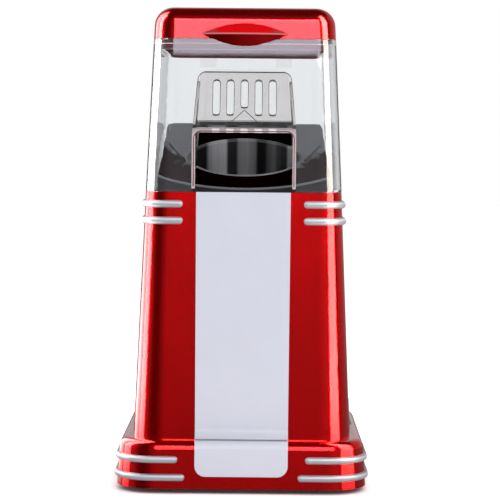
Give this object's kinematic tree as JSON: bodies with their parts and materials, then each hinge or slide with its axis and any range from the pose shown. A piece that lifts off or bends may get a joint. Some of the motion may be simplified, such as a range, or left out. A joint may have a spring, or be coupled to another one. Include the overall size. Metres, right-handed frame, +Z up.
{
  "type": "popcorn maker",
  "caption": "Hot-air popcorn maker: red tapered body on a wide plinth, white front band, silver corner bars, clear tower with front spout, sloping black deck and hinged red lid.",
  "frame": {"origin": "centre of the footprint, on the surface that the rubber feet stand on", "axes": "+Z up, -Y towards the front where the spout and white panel are, +X to the right of someone facing the front; the switch is on the +X side"},
  "size_m": [0.157, 0.1796, 0.2963],
  "materials": {
    "red_gloss": "high gloss lacquered moulding",
    "white_gloss": "gloss white",
    "satin_silver": "satin silver plating",
    "clear": "clear moulded plastic",
    "black_gloss": "polished black",
    "chamber_metal": "dark anodised, spun",
    "sheet_steel": "plated sheet",
    "liner_red": "gloss dark red moulding",
    "black_matte": "fine texture",
    "black_rubber": "matt rubber",
    "steel": "turned",
    "zinc_screw": "zinc plated",
    "mica": "laminated mica",
    "heater_wire": "oxidised resistance wire",
    "ferrite": "sintered",
    "copper": "enamelled copper windings on laminated core",
    "bronze": "sintered bronze",
    "board_green": "fibreglass board",
    "diode_black": "moulded",
    "ceramic": "ceramic",
    "wire_white": "glass-fibre sleeve",
    "nylon_natural": "nylon"
  },
  "bodies": {
    "base": {"plinth_shell": "red_gloss", "body_shell": "red_gloss", "front_panel": "white_gloss", "trim_upper_left": "satin_silver", "trim_upper_right": "satin_silver", "trim_lower_left": "satin_silver", "trim_lower_right": "satin_silver", "chamber_deck": "black_gloss", "popping_chamber": "chamber_metal", "heater_sleeve": "sheet_steel", "bottom_cover": "black_matte", "rubber_feet": "black_rubber", "switch_housing": "black_matte", "switch_terminals": "bronze", "cord_gland": "black_matte", "fan_housing": "black_matte", "motor_plate": "sheet_steel", "motor_can": "steel", "motor_end_cap": "black_matte", "motor_magnets": "ferrite", "motor_bushes": "bronze", "motor_bracket": "sheet_steel", "motor_screws": "zinc_screw", "mica_cross": "mica", "heater_coil": "heater_wire", "thermostat": "ceramic", "thermal_fuse": "ceramic", "sleeve_screws": "zinc_screw", "base_screws": "zinc_screw", "column_screws": "zinc_screw", "deck_screws": "zinc_screw", "rectifier_board": "board_green", "rectifier_diodes": "diode_black", "wiring": "wire_white"},
    "rotor": {"motor_shaft": "steel", "fan_impeller": "nylon_natural", "motor_armature": "copper"},
    "tower": {"clear_tower": "clear", "spout_hood": "clear", "hinge_pin": "steel"},
    "lid": {"lid_shell": "red_gloss", "lid_liner": "liner_red"},
    "rocker": {"switch_rocker": "black_matte"}
  },
  "joints": [
    {"name": "fan_spin", "type": "hinge", "parent": "base", "child": "rotor", "pos_m": [0, -0.0026, 0.05], "axis": [0, 0, 1], "continuous": true},
    {"name": "tower_lift", "type": "slide", "parent": "base", "child": "tower", "axis": [0, 0, 1], "range_m": [0, 0.12]},
    {"name": "lid_hinge", "type": "hinge", "parent": "tower", "child": "lid", "pos_m": [0, 0.0716, 0.2802], "axis": [-1, 0, 0], "range_deg": [0, 100]},
    {"name": "power_switch", "type": "hinge", "parent": "base", "child": "rocker", "pos_m": [0.06249, -0.044, 0.04373], "axis": [0, 1, 0], "range_deg": [0, 18]}
  ]
}
